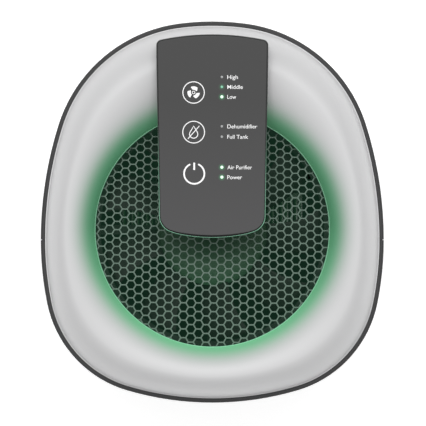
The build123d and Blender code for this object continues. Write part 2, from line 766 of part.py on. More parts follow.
def condensate_funnel():
    """Tray under the cold sink that drains through the deck into the tank."""
    tray_y = (17.0, 48.0)

    def basin(shrink, low, high):
        bottom = Plane.XY.offset(low) * Pos(DRIP_X, DRIP_Y) * Rectangle(16 - 2 * shrink, 16 - 2 * shrink)
        middle = sum(tray_y) / 2
        top = Plane.XY.offset(high) * Pos(0, middle) * Rectangle(96 - 2 * shrink, 31 - 2 * shrink)
        return loft([bottom, top])

    deck_top = DECK_Z + DECK_THICK
    funnel = basin(0, 124, 156) - basin(1.5, 126, 157)
    funnel += rod(DRIP_X, DRIP_Y, (TANK_TOP + LID_THICK + 1.5, 126.5), DRIP_TUBE_R)
    funnel += rod(DRIP_X, DRIP_Y, (deck_top, deck_top + 2), 11)
    return funnel - rod(DRIP_X, DRIP_Y, (0, 140), DRIP_R)


# ================= filter drawer =================
def filter_door(wall):
    """The drawer's curved front with its air louvres and finger grip."""
    across, up = (-FILTER_DOOR_HALF, FILTER_DOOR_HALF), (FILTER_DOOR_LOW, FILTER_DOOR_HIGH)
    door = wall & box(across, (CARTRIDGE_Y[0], FAR), up)
    for k in range(LOUVRES):
        z = LOUVRE_LOW + k * LOUVRE_PITCH
        door -= box((-LOUVRE_HALF, LOUVRE_HALF), (0, FAR), (z, z + LOUVRE_SLOT))
    cup = box((-GRIP_HALF - 2, GRIP_HALF + 2), (97, FAR), (GRIP_LOW - 2, GRIP_HIGH + 2))
    cup &= body_block(WALL - 0.5, FILTER_DOOR_LOW, FILTER_DOOR_HIGH)
    door += cup
    return door - box((-GRIP_HALF, GRIP_HALF), (99, FAR), (GRIP_LOW, GRIP_HIGH))


def filter_frame():
    inner_half, low, high = FRAME_HALF - FRAME_WALL, FRAME_LOW + FRAME_WALL, FRAME_HIGH - FRAME_WALL
    frame = box((-FRAME_HALF, FRAME_HALF), (62, FAR), (FRAME_LOW, FRAME_HIGH))
    frame &= body_block(WALL, FRAME_LOW, FRAME_HIGH)
    return frame - box((-inner_half, inner_half), (0, FAR), (low, high))


def filter_space(y, gap):
    half, low, high = FRAME_HALF - FRAME_WALL, FRAME_LOW + FRAME_WALL, FRAME_HIGH - FRAME_WALL
    return box((-half + gap, half - gap), y, (low + gap, high - gap))


def hepa_filter():
    """One pleated sheet, folded in a zigzag across the drawer."""
    half = FRAME_HALF - FRAME_WALL - 0.8
    count = int(2 * half / PLEAT_PITCH)
    near, far = CARTRIDGE_Y[0] + 1, CARTRIDGE_Y[1] - 1
    xs = [-half + 2 * half * k / (2 * count) for k in range(2 * count + 1)]
    front = [(x, near if k % 2 == 0 else far - PLEAT_THICK * 2) for k, x in enumerate(xs)]
    back = [(x, near + PLEAT_THICK * 2 if k % 2 == 0 else far) for k, x in enumerate(xs)]
    low, high = FRAME_LOW + FRAME_WALL + 0.5, FRAME_HIGH - FRAME_WALL - 0.5
    profile = Wire.make_polygon([Vector(x, y, low) for x, y in front + back[::-1]], close=True)
    return Solid.extrude(Face(profile), Vector(0, 0, high - low))


def carbon_filter():
    return filter_space(CARBON_Y, 0.5)


def pre_filter():
    return filter_space(PRE_FILTER_Y, 0.5)


def filter_guide():
    """Fixed tunnel that carries the drawer, with a sealing lip at its inner end."""
    low, high = DECK_Z + DECK_THICK, FAN_DECK_Z - LEDGE_THICK - 0.2
    guide = box((-74, 74), (57, FAR), (low, high)) & body_block(WALL + SLIDE_GAP, low, high)
    gap = FRAME_HALF + SLIDE_GAP
    guide -= box((-gap, gap), (61.2, FAR), (FRAME_LOW - SLIDE_GAP, FRAME_HIGH + SLIDE_GAP))
    return guide - box((-58, 58), (0, 62), (FRAME_LOW + 6, FRAME_HIGH - 6))


# ================= water tank =================
def tank_space(inset, half, rear_y, low, high, round_r):
    """The tower's inside in front of rear_y, no wider than half, with rounded rear corners."""
    space = body_block(inset, low, high) & box((-half, half), (-FAR, rear_y), (0, FAR))
    rear_edges = [e for e in space.edges() if abs(e.center().Y - rear_y) < 0.1]
    corners = [e for e in rear_edges if abs(abs(e.center().X) - half) < 0.1]
    return space.solids()[0].fillet(round_r, corners)


def tank_layer(shrink, low, high, round_r):
    """The tank's own plan drawn in by shrink."""
    return tank_space(WALL + shrink, TANK_HALF - shrink, TANK_REAR_Y - shrink, low, high, round_r)


def front_y(z):
    """Where the skin's inner face crosses the middle plane at the front."""
    return -(FRONT_LENGTH - WIDEST_Y - skin_inset(z) - WALL)


def tank_pocket(grow):
    back = front_y(TANK_TOP) + POCKET_DEPTH + grow
    return box((-POCKET_HALF - grow, POCKET_HALF + grow), (-FAR, back), (POCKET_Z - grow, FAR))


def tank_body():
    """Open water tank with the finger pocket at its front and the float's post."""
    outer = tank_layer(0, TANK_BOTTOM, TANK_TOP, TANK_CORNER_R) - tank_pocket(0)
    inner = tank_layer(TANK_WALL, TANK_BOTTOM + TANK_WALL, TANK_TOP + 1, TANK_CORNER_R - 2)
    tank = outer - (inner - tank_pocket(TANK_WALL))
    return tank + rod(FLOAT_X, FLOAT_Y, (TANK_BOTTOM + 1, POST_TOP), 4.0)


def tank_front(wall):
    span = box((-TANK_DOOR_HALF, TANK_DOOR_HALF), (-FAR, -20), (TANK_DOOR_LOW, TANK_DOOR_HIGH))
    notch = box((-NOTCH_HALF, NOTCH_HALF), (-FAR, -20), (NOTCH_Z, TANK_DOOR_HIGH + 20))
    low_edges = [e for e in notch.edges() if abs(e.center().Z - NOTCH_Z) < 0.1]
    corners = [e for e in low_edges if abs(abs(e.center().X) - NOTCH_HALF) < 0.1]
    return (wall & span) - notch.fillet(6, corners)


def tank_lid():
    """Lid with a rim inside the tank, the drip opening and a pouring hole."""
    top = TANK_TOP + LID_THICK
    lid = tank_space(WALL + 0.1, TANK_HALF, TANK_REAR_Y, TANK_TOP, top, TANK_CORNER_R) - tank_pocket(0)
    outer = TANK_WALL + FIT_GAP
    inner = outer + 1.6
    rim = tank_layer(outer, TANK_TOP - 3, TANK_TOP, TANK_CORNER_R - outer) - tank_pocket(outer)
    hole = tank_layer(inner, TANK_TOP - 4, TANK_TOP + 1, TANK_CORNER_R - inner) - tank_pocket(inner)
    lid += rim - hole
    lid -= rod(DRIP_X, DRIP_Y, (90, FAR), 10)
    return lid - box((-78, -62), (34, 44), (TANK_TOP - 0.1, FAR))


def tank_float():
    body = tube(FLOAT_X, FLOAT_Y, (TANK_BOTTOM + TANK_WALL + 0.4, 30), FLOAT_R, 4.6)
    return body - tube(FLOAT_X, FLOAT_Y, (MAGNET_Z[0], MAGNET_Z[1] + 1), *MAGNET_R)


def float_magnet():
    return tube(FLOAT_X, FLOAT_Y, MAGNET_Z, *MAGNET_R)


def level_switch():
    case = box((FLOAT_X - 11, FLOAT_X + 11), (FLOAT_Y - 5, FLOAT_Y + 5), (DECK_Z - 3.5, DECK_Z))
    return case + rod((FLOAT_X - 14, FLOAT_X + 14), FLOAT_Y, DECK_Z - 1.8, 1.2, "X")


# ================= electronics =================
def board_places():
    """Where the main board's four screws go."""
    along, back = BOARD_INSET
    xs, ys = (BOARD_X[0] + along, BOARD_X[1] - along), (BOARD_Y[0] + back, BOARD_Y[1] - back)
    return [(x, y) for x in xs for y in ys]


def main_board():
    board = box(BOARD_X, BOARD_Y, (BOARD_Z, BOARD_Z + BOARD_THICK))
    for x, y in board_places():
        board -= rod(x, y, (0, FAR), HOLE_R)
    return board


def main_board_screws():
    top = BOARD_Z + BOARD_THICK
    return [screw_thin(x, y, top) for x, y in board_places()]


def screw_thin(x, y, top):
    """A small screw whose shank just fills the board's post."""
    return rod(x, y, (top, top + HEAD_HEIGHT), HEAD_R) + rod(x, y, (top - 7, top), 1.15)


def board_components():
    """Three capacitors, a transformer, a connector and a heat sink on the board."""
    top = BOARD_Z + BOARD_THICK
    capacitors = ((-30, 70, 6, 20), (-15, 76, 5, 16), (-2, 70, 4, 12))
    parts = [rod(x, y, (top, top + tall), radius) for x, y, radius, tall in capacitors]
    parts.append(box((8, 24), (62, 74), (top, top + 14)))
    parts.append(box((-37, -20), (58, 62), (top, top + 8)))
    parts.append(box((30, 40), (58, 78), (top, top + 18)))
    return parts


def dc_jack():
    """Power inlet: a case behind the wall and a barrel that reaches into the wall's hole."""
    y_wall = REAR_LENGTH + WIDEST_Y - skin_inset(JACK_Z) - sag(REAR_RADII[2], JACK_X + 6)
    case = box((JACK_X - 5, JACK_X + 5), (90.5, y_wall - WALL - 1), (JACK_Z - 6, JACK_Z + 6))
    barrel = rod(JACK_X, (100, y_wall - 0.4), JACK_Z, JACK_R, "Y")
    bore = rod(JACK_X, (y_wall - 11, FAR), JACK_Z, JACK_BORE_R, "Y")
    pin = rod(JACK_X, (y_wall - 12, y_wall - 2), JACK_Z, 1.0, "Y")
    return case + barrel - bore + pin


# ================= cables =================
def cable(points, radii, radius):
    """A round cable along straight runs joined by arcs."""
    path = FilletPolyline(*points, radius=radii)
    start = points[0]
    direction = Vector(*points[1]) - Vector(*start)
    profile = Plane(origin=start, z_dir=direction.normalized()) * Circle(radius)
    return sweep(profile, path=path)


def console_cable():
    """From the main board up the left side to the touch board."""
    points = [
        (-32, CABLE_Y, 31.6),
        (-32, CABLE_Y, 46),
        (-CABLE_X, CABLE_Y, 60),
        (-CABLE_X, CABLE_Y, 288),
        (CONSOLE_CABLE_X, CONSOLE_CABLE_Y, 296),
        (CONSOLE_CABLE_X, CONSOLE_CABLE_Y, 335.5),
    ]
    return cable(points, 8, CABLE_R)


def module_leads():
    """From the main board up the right side to the thermoelectric module's level."""
    points = [
        (35, 68, 41.6),
        (35, 68, 52),
        (CABLE_X, CABLE_Y, 66),
        (CABLE_X, CABLE_Y, 135),
        (62, 22, 165),
    ]
    return cable(points, 7, CABLE_R)


def main():
    os.makedirs("parts", exist_ok=True)
    wall = casing()
    node("front_shell", front_shell(wall))
    node("rear_shell", rear_shell(wall))
    node("base_tray", base_tray())
    node("rubber_feet", *rubber_feet())
    node("base_screws", *base_screws())
    node("mid_deck", mid_deck())
    node("fan_deck", fan_deck())
    node("top_cover", top_cover())
    node("outlet_grille", outlet_grille())
    node("grille_screws", *grille_screws())
    node("light_guide_ring", light_guide())
    node("led_ring_board", led_ring_board())
    node("ring_leds", *ring_leds())
    node("console_housing", console_housing())
    node("console_panel", console_panel())
    node("touch_board", touch_board())
    node("touch_springs", *touch_springs())
    node("indicator_lights_off", *indicator_lights(LIGHTS_OFF_YS))
    node("indicator_light_dim", *indicator_lights(LIGHTS_DIM_YS))
    node("indicator_lights_on", *indicator_lights(LIGHTS_ON_YS))
    node("touch_board_screws", *board_screws())
    node("console_screws", *console_screws())
    node("fan_frame", fan_frame())
    node("fan_bearings", *fan_bearings())
    node("fan_motor_stator", fan_motor_stator())
    node("fan_rotor", fan_rotor())
    node("fan_magnet", fan_magnet())
    node("fan_shaft", fan_shaft())
    node("fan_screws", *fan_screws())
    node("hot_sink", hot_sink())
    node("cold_sink", cold_sink())
    node("sink_screws", *sink_screws())
    node("peltier_module", peltier_module())
    node("insulation_gasket", insulation_gasket())
    node("divider_wall", divider_wall())
    node("condensate_funnel", condensate_funnel())
    node("filter_door", filter_door(wall))
    node("filter_frame", filter_frame())
    node("hepa_filter", hepa_filter())
    node("carbon_filter", carbon_filter())
    node("pre_filter", pre_filter())
    node("filter_guide", filter_guide())
    node("tank_body", tank_body())
    node("tank_front", tank_front(wall))
    node("tank_lid", tank_lid())
    node("tank_float", tank_float())
    node("float_magnet", float_magnet())
    node("level_switch", level_switch())
    node("main_board", main_board())
    node("board_components", *board_components())
    node("main_board_screws", *main_board_screws())
    node("dc_jack", dc_jack())
    node("console_cable", console_cable())
    node("module_leads", module_leads())


main()
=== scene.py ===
import json
import math

import bmesh
import bpy
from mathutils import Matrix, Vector


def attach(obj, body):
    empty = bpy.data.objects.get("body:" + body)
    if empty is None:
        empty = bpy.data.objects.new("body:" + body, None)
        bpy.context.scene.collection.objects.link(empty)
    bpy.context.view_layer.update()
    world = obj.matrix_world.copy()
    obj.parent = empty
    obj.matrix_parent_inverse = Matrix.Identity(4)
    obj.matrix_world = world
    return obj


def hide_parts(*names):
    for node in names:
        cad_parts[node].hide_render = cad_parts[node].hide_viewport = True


# Looks of a compact dehumidifier and air purifier. The frame is in metres, +Z up, -Y towards the
# user. The shape helpers take millimetres in that frame and scale them when a mesh is made.

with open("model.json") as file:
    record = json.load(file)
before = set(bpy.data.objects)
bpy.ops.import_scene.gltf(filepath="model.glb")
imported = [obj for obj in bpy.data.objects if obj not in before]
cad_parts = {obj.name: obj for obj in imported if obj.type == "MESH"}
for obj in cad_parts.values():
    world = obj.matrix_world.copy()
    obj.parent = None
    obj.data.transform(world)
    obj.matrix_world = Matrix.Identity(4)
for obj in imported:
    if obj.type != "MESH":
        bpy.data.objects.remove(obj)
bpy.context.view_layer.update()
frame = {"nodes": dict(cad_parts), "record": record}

# ---- sizes shared with the solids, in millimetres ----
HALF_WIDTH = 108.0
REAR_LENGTH, FRONT_LENGTH = 137.5, 102.5
WIDEST_Y = -17.5
REAR_RADII = (240.0, 92.0, 160.0)
FRONT_RADII = (200.0, 72.0, 190.0)
RIM_Z = 312.0
DRAFT = 5.0
OUTLET_Y = -11.2
LIP_R = 74.2
CREST_Z = 332.0
CREST_SHARE = 0.42
BOWL_EDGE_Z = 317.0
GRILLE_TOP = 311.4
CONSOLE_TOP = 345.0
CONSOLE_BOTTOM = 328.0
CONSOLE_REAR_Y, CONSOLE_TIP_Y = 111.4, -15.4
CONSOLE_TILT = math.radians(1.5)
FAN_KEY, DROP_KEY, POWER_KEY = (-11.7, 74.8), (-11.65, 50.0), (-11.3, 24.0)
LIGHT_X, LABEL_X = 6.0, 9.4
HIGH_Y, MIDDLE_Y, LOW_Y = 84.5, 78.3, 72.1
DRY_Y, TANK_Y = 53.6, 47.1
AIR_Y, POWER_Y = 28.0, 21.8

# ---- sizes of the finished pieces, in millimetres ----
RIM_LINE = 2.8        # dark casing left showing round the silver ring
EDGE_LIP = 0.7        # rounding at the ring's outer edge
COMB_PITCH, COMB_COLUMN, COMB_BAR = 5.2, 4.66, 0.85
COMB_COUNT = 47       # columns, and cells in each, before the comb is trimmed to the outlet
COMB_R = 76.0
BLADES = 9


# ================= camera, light, floor =================
def make_camera():
    """A long lens, straight above the rim."""
    data = bpy.data.cameras.new("camera")
    data.lens = 806
    data.sensor_width = 36
    data.clip_end = 20
    cam = bpy.data.objects.new("camera", data)
    cam.location = (0.00045, -0.0006, RIM_Z / 1000 + 6.0)
    bpy.context.collection.objects.link(cam)
    bpy.context.scene.camera = cam


def area_light(name, place, target, size, power):
    """A rectangular panel of light facing its target, in metres and watts."""
    data = bpy.data.lights.new(name, "AREA")
    data.shape = "RECTANGLE"
    data.size, data.size_y = size
    data.energy = power
    lamp = bpy.data.objects.new(name, data)
    lamp.location = place
    lamp.rotation_euler = (Vector(target) - Vector(place)).to_track_quat("-Z", "Y").to_euler()
    bpy.context.collection.objects.link(lamp)


def make_world(horizon, overhead):
    """An even white studio, dimmer towards the horizon than overhead."""
    world = bpy.data.worlds.new("studio")
    world.use_nodes = True
    tree = world.node_tree
    back = tree.nodes["Background"]
    back.inputs["Color"].default_value = (1, 1, 1, 1)
    coords = tree.nodes.new("ShaderNodeTexCoord")
    split = tree.nodes.new("ShaderNodeSeparateXYZ")
    ramp = tree.nodes.new("ShaderNodeMapRange")
    ramp.inputs["From Min"].default_value = 0.1
    ramp.inputs["From Max"].default_value = 0.9
    ramp.inputs["To Min"].default_value = horizon
    ramp.inputs["To Max"].default_value = overhead
    tree.links.new(coords.outputs["Generated"], split.inputs["Vector"])
    tree.links.new(split.outputs["Z"], ramp.inputs["Value"])
    tree.links.new(ramp.outputs["Result"], back.inputs["Strength"])
    bpy.context.scene.world = world


def make_floor():
    """A plain white floor, lifted a little so that it stays pale all round."""
    mat, shader = surface("floor_white", (0.9, 0.9, 0.9), 0.9)
    shader.inputs["Emission Color"].default_value = (1, 1, 1, 1)
    shader.inputs["Emission Strength"].default_value = 0.6
    half = 3000
    corners = [(-half, -half, 0), (half, -half, 0), (half, half, 0), (-half, half, 0)]
    mesh_object("floor", corners, [(0, 1, 2, 3)], mat)


# ================= materials =================
def surface(name, colour, rough, metallic=0.0, grain=0.0, grain_size=2500.0):
    """A plain shader, with an optional fine moulded grain."""
    mat = bpy.data.materials.new(name)
    mat.use_nodes = True
    tree = mat.node_tree
    shader = tree.nodes["Principled BSDF"]
    shader.inputs["Base Color"].default_value = (*colour, 1)
    shader.inputs["Roughness"].default_value = rough
    shader.inputs["Metallic"].default_value = metallic
    if grain:
        coords = tree.nodes.new("ShaderNodeTexCoord")
        noise = tree.nodes.new("ShaderNodeTexNoise")
        noise.inputs["Scale"].default_value = grain_size
        noise.inputs["Detail"].default_value = 2
        bump = tree.nodes.new("ShaderNodeBump")
        bump.inputs["Strength"].default_value = grain
        bump.inputs["Distance"].default_value = 0.0002
        tree.links.new(coords.outputs["Object"], noise.inputs["Vector"])
        tree.links.new(noise.outputs["Fac"], bump.inputs["Height"])
        tree.links.new(bump.outputs["Normal"], shader.inputs["Normal"])
    return mat, shader


def glowing(name, colour, strength, base=(0.5, 0.5, 0.5), rough=0.4):
    """A plain shader that also gives off light."""
    mat, shader = surface(name, base, rough)
    shader.inputs["Emission Color"].default_value = (*colour, 1)
    shader.inputs["Emission Strength"].default_value = strength
    return mat


def silver_paint():
    """Satin silver, with painted green light of the outlet's light ring as a green tint and glow where
    the bowl falls to the outlet.
    """
    mat, shader = surface("silver_ring", (0.62, 0.62, 0.62), 0.55, 0.15, 0.03, 4000)
    # painted green light: the glow's strength rises towards the user
    along_y(mat, shader, "Emission Strength", -0.085, -0.008, 0.32, 0.07)
    tree = mat.node_tree
    # painted green light of the outlet's ring: a green tint in the base colour and a green glow, set
    # by the glow attribute
    glow = tree.nodes.new("ShaderNodeAttribute")
    glow.attribute_name = "glow"
    mix = tree.nodes.new("ShaderNodeMix")
    mix.data_type = "RGBA"
    mix.inputs["A"].default_value = (0.62, 0.62, 0.625, 1)
    mix.inputs["B"].default_value = (0.055, 0.31, 0.14, 1)
    tree.links.new(glow.outputs["Fac"], mix.inputs["Factor"])
    tree.links.new(mix.outputs["Result"], shader.inputs["Base Color"])
    painted_glow_colour = tree.nodes.new("ShaderNodeMix")
    painted_glow_colour.data_type = "RGBA"
    painted_glow_colour.inputs["A"].default_value = (0, 0, 0, 1)
    painted_glow_colour.inputs["B"].default_value = (0.42, 1.0, 0.58, 1)
    tree.links.new(glow.outputs["Fac"], painted_glow_colour.inputs["Factor"])
    tree.links.new(painted_glow_colour.outputs["Result"], shader.inputs["Emission Color"])
    return mat


def halo_light(mat, shader):
    """Adds painted green light to a material wherever its mesh carries the glow attribute."""
    tree = mat.node_tree
    glow = tree.nodes.new("ShaderNodeAttribute")
    glow.attribute_name = "glow"
    power = tree.nodes.new("ShaderNodeMath")
    power.operation = "MULTIPLY"
    power.inputs[1].default_value = 0.22
    tree.links.new(glow.outputs["Fac"], power.inputs[0])
    tree.links.new(power.outputs["Value"], shader.inputs["Emission Strength"])
    shader.inputs["Emission Color"].default_value = (0.1, 1.0, 0.35, 1)


def along_y(mat, shader, socket, low, high, at_low, at_high):
    """Blends a shader number or colour from low to high Y, in metres."""
    tree = mat.node_tree
    coords = tree.nodes.new("ShaderNodeTexCoord")
    split = tree.nodes.new("ShaderNodeSeparateXYZ")
    ramp = tree.nodes.new("ShaderNodeMapRange")
    ramp.inputs["From Min"].default_value = low
    ramp.inputs["From Max"].default_value = high
    tree.links.new(coords.outputs["Object"], split.inputs["Vector"])
    tree.links.new(split.outputs["Y"], ramp.inputs["Value"])
    if isinstance(at_low, tuple):
        mix = tree.nodes.new("ShaderNodeMix")
        mix.data_type = "RGBA"
        mix.inputs["A"].default_value = (*at_low, 1)
        mix.inputs["B"].default_value = (*at_high, 1)
        tree.links.new(ramp.outputs["Result"], mix.inputs["Factor"])
        tree.links.new(mix.outputs["Result"], shader.inputs[socket])
    else:
        ramp.inputs["To Min"].default_value = at_low
        ramp.inputs["To Max"].default_value = at_high
        tree.links.new(ramp.outputs["Result"], shader.inputs[socket])
    return mat


# ================= mesh helpers =================
def mesh_object(name, verts_mm, faces, mat, smooth=False):
    """A mesh from points in millimetres, linked to the scene in metres."""
    mesh = bpy.data.meshes.new(name)
    mesh.from_pydata([(x / 1000, y / 1000, z / 1000) for x, y, z in verts_mm], [], faces)
    mesh.materials.append(mat)
    if smooth:
        mesh.shade_smooth()
    obj = bpy.data.objects.new(name, mesh)
    bpy.context.collection.objects.link(obj)
    return obj


def baked(obj):
    """Turns an object's modifiers into plain mesh."""
    graph = bpy.context.evaluated_depsgraph_get()
    mesh = bpy.data.meshes.new_from_object(obj.evaluated_get(graph))
    old = obj.data
    name = old.name
    obj.modifiers.clear()
    obj.data = mesh
    bpy.data.meshes.remove(old)
    mesh.name = name
    return obj


def rounded(obj, width_mm, segments=2, angle=35):
    """Bevels the object's sharp edges and smooths it."""
    bevel = obj.modifiers.new("edge", "BEVEL")
    bevel.width = width_mm / 1000
    bevel.segments = segments
    bevel.limit_method = "ANGLE"
    bevel.angle_limit = math.radians(angle)
    bevel.harden_normals = True
    obj.data.shade_smooth()
    return baked(obj)


def cut(obj, *tools):
    """Takes the tools' shapes out of obj and removes the tools."""
    for tool in tools:
        step = obj.modifiers.new("cut", "BOOLEAN")
        step.operation = "DIFFERENCE"
        step.solver = "EXACT"
        step.object = tool
    baked(obj)
    for tool in tools:
        bpy.data.objects.remove(tool)
    return obj


def lathe(name, profile, mat, centre=(0, OUTLET_Y), steps=192):
    """Turns a closed (radius, z) profile about a vertical axis."""
    n = len(profile)
    verts, faces = [], []
    for i in range(steps):
        a = 2 * math.pi * i / steps
        for r, z in profile:
            verts.append((centre[0] + r * math.cos(a), centre[1] + r * math.sin(a), z))
    for i in range(steps):
        j = (i + 1) % steps
        for k in range(n):
            m = (k + 1) % n
            faces.append((i * n + k, j * n + k, j * n + m, i * n + m))
    return mesh_object(name, verts, faces, mat, True)


def slab(name, outline_points, low, high, mat):
    """A flat plate with the given plan outline."""
    n = len(outline_points)
    verts = [(x, y, low) for x, y in outline_points] + [(x, y, high) for x, y in outline_points]
    faces = [tuple(range(n - 1, -1, -1)), tuple(range(n, 2 * n))]
    faces += [(i, (i + 1) % n, n + (i + 1) % n, n + i) for i in range(n)]
    return mesh_object(name, verts, faces, mat)


# ================= outline of the tower =================
def arc_centres(length, radii):
    """Centres of the side, corner and cap arcs of one end of the outline, seen from its middle."""
    side_r, corner_r, cap_r = radii
    side, cap = Vector((HALF_WIDTH - side_r, 0)), Vector((0, length - cap_r))
    gap = (cap - side).length
    unit = (cap - side) / gap
    along = (gap**2 + (side_r - corner_r) ** 2 - (cap_r - corner_r) ** 2) / (2 * gap)
    across = math.sqrt((side_r - corner_r) ** 2 - along**2)
    return side, side + unit * along + Vector((-unit.y, unit.x)) * across, cap


QUARTERS = {1: (arc_centres(REAR_LENGTH, REAR_RADII), REAR_RADII),
            -1: (arc_centres(FRONT_LENGTH, FRONT_RADII), FRONT_RADII)}


def edge_distance(x, y):
    """Signed distance from a point to the rim's outline, negative inside."""
    end = 1 if y >= WIDEST_Y else -1
    (side, corner, cap), radii = QUARTERS[end]
    point = Vector((abs(x), end * (y - WIDEST_Y)))
    angle = math.atan2(point.y - corner.y, point.x - corner.x)
    first = math.atan2(corner.y - side.y, corner.x - side.x)
    second = math.atan2(corner.y - cap.y, corner.x - cap.x)
    which = 0 if angle < first else 2 if angle > second else 1
    return (point - (side, corner, cap)[which]).length - radii[which]


def reach(turn, inset):
    """Distance from the outlet's axis to the outline moved in by inset, along a direction."""
    low, high = 20.0, 200.0
    for _ in range(40):
        middle = (low + high) / 2
        if edge_distance(middle * math.cos(turn), OUTLET_Y + middle * math.sin(turn)) < -inset:
            low = middle
        else:
            high = middle
    return low


# ================= silver ring =================
def ring_height(share):
    """Height of the ring's skin, from its outer edge, share 0, to the bowl's edge, share 1."""
    if share < CREST_SHARE:
        steep, low = 0.85, RIM_Z
        lean = steep * (CREST_SHARE - share) / CREST_SHARE
    else:
        steep, low = 0.93, BOWL_EDGE_Z
        lean = steep * (share - CREST_SHARE) / (1 - CREST_SHARE)
    full = 1 - math.sqrt(1 - steep**2)
    return CREST_Z - (CREST_Z - low) * (1 - math.sqrt(1 - lean**2)) / full


def ring_section(outer):
    """The ring's closed (radius, z) section where its outer edge is this far from the axis."""
    edge, rows = outer - EDGE_LIP, 56
    skin = []
    for k in range(rows + 1):
        share = (k / rows) ** 1.15
        skin.append((edge + (LIP_R - edge) * share, ring_height(share) + 0.4 * (1 - share) ** 12))
    lip_z, skirt_z = 313.2, 302.0
    inner_lip = [(LIP_R, lip_z), (LIP_R + 3, lip_z)]
    underside = [(outer - 14, CREST_Z - 4), (outer - 2, RIM_Z - 2)]
    skirt = [(outer - 2, skirt_z), (outer - 0.9, skirt_z), (outer - 0.9, RIM_Z - 0.4)]
    outer_lip = [(outer, RIM_Z - 0.2), (outer, RIM_Z + 0.3), (outer - 0.15, RIM_Z + 0.4)]
    return skin + inner_lip + underside + skirt + outer_lip


def painted_ring_glow(x, y):
    """How strong the painted green light of the outlet's ring is on the silver: strongest at the
    outlet's edge, narrower towards the user.
    """
    radius, turn = math.hypot(x, y - OUTLET_Y), math.atan2(y - OUTLET_Y, x)
    front, rear = max(0.0, -math.sin(turn)), max(0.0, math.sin(turn))
    width = 9.6 - 4.0 * front + 0.8 * rear
    return 0.95 * math.exp(-((max(0.0, radius - LIP_R) / width) ** (2.4 - 0.6 * front)))


def ring_cover():
    """The silver ring with its inner lip and underside, open where the console sits."""
    steps = 288
    sections = []
    for i in range(steps):
        turn = 2 * math.pi * i / steps
        section = ring_section(reach(turn, RIM_LINE))
        sections.append([(r * math.cos(turn), OUTLET_Y + r * math.sin(turn), z) for r, z in section])
    n = len(sections[0])
    verts = [section[k] for k in range(n) for section in sections]
    faces = []
    for k in range(n):
        for i in range(steps):
            j, m = (i + 1) % steps, (k + 1) % n
            faces.append((k * steps + i, k * steps + j, m * steps + j, m * steps + i))
    obj = mesh_object("ring_cover", verts, faces, MATS["silver"], True)
    cut(obj, tilt(slab("tool", console_plan(0.95), CONSOLE_BOTTOM - 0.15, 380, MATS["silver"])))
    obj.data.set_sharp_from_angle(angle=math.radians(50))
    # painted green light of the outlet's ring, stored per point for the silver paint
    glow = obj.data.attributes.new("glow", "FLOAT", "POINT")
    for v, value in zip(obj.data.vertices, glow.data):
        value.value = painted_ring_glow(v.co.x * 1000, v.co.y * 1000)
    return obj


def seam_lip(side):
    """The rear shell's tongue, which fills the seam between the shells from inside."""
    half, thick, setback = 1.4, 1.2, 0.9
    verts = []
    for z, skin in ((8.0, HALF_WIDTH - DRAFT), (311.0, HALF_WIDTH)):
        out = skin - setback
        corners = ((out, -half), (out, half), (out - thick, half), (out - thick, -half))
        verts += [(side * x, WIDEST_Y + y, z) for x, y in corners]
    faces = [(0, 1, 5, 4), (1, 2, 6, 5), (2, 3, 7, 6), (3, 0, 4, 7), (3, 2, 1, 0), (4, 5, 6, 7)]
    return mesh_object("seam_lip_left" if side < 0 else "seam_lip_right", verts, faces, MATS["case"])


# ================= console =================
def fillet(corner, before, after, radius, steps=8):
    """Points of an arc that rounds a corner between two straight runs."""
    c, a, b = Vector(corner), Vector(before), Vector(after)
    u, v = (a - c).normalized(), (b - c).normalized()
    half = u.angle(v) / 2
    start, end = c + u * radius / math.tan(half), c + v * radius / math.tan(half)
    centre = c + (u + v).normalized() * radius / math.sin(half)
    points = []
    for k in range(steps + 1):
        p = start.lerp(end, k / steps) - centre
        points.append(tuple(centre + p.normalized() * radius))
    return points


def sag(radius, x):
    """How far an arc of this radius falls back at x from its middle."""
    return radius - math.sqrt(radius**2 - x**2)


def console_plan(grow, tip_grow=0.0):
    """The console's outline from above, counter-clockwise from the middle of its tip."""
    rear_half, tip_half = 34.3 + grow, 32.4 + grow
    rear_r, tip_r = 158 + grow, 103 + grow
    rear_y, tip_y = CONSOLE_REAR_Y - 1.1 + grow, CONSOLE_TIP_Y - grow - tip_grow
    tip_r -= 20 * tip_grow
    corner_front = (tip_half, tip_y + sag(tip_r, tip_half))
    corner_rear = (rear_half, rear_y - sag(rear_r, rear_half))
    inner_front = (tip_half - 14, tip_y + sag(tip_r, tip_half - 14))
    inner_rear = (rear_half - 5, rear_y - sag(rear_r, rear_half - 5))
    front = fillet(corner_front, inner_front, corner_rear, 10 + grow / 2, 12)
    rear = fillet(corner_rear, corner_front, inner_rear, 3 + grow / 2, 6)
    right = front + rear
    tip_edge = front[0][0]
    tips = [(tip_edge * k / 10, tip_y + sag(tip_r, tip_edge * k / 10)) for k in range(10)]
    rear_edge = rear[-1][0]
    rears = [(rear_edge * k / 10, rear_y - sag(rear_r, rear_edge * k / 10)) for k in range(9, -1, -1)]
    half = tips + right + rears
    return half + [(-x, y) for x, y in half[-2:0:-1]]


def tilt(obj):
    """Leans a console piece down towards the user about the console's back edge."""
    pivot = Vector((0, CONSOLE_REAR_Y / 1000, CONSOLE_TOP / 1000))
    c, s = math.cos(CONSOLE_TILT), math.sin(CONSOLE_TILT)
    for v in obj.data.vertices:
        y, z = v.co.y - pivot.y, v.co.z - pivot.z
        v.co.y, v.co.z = pivot.y + y * c - z * s, pivot.z + y * s + z * c
    return obj


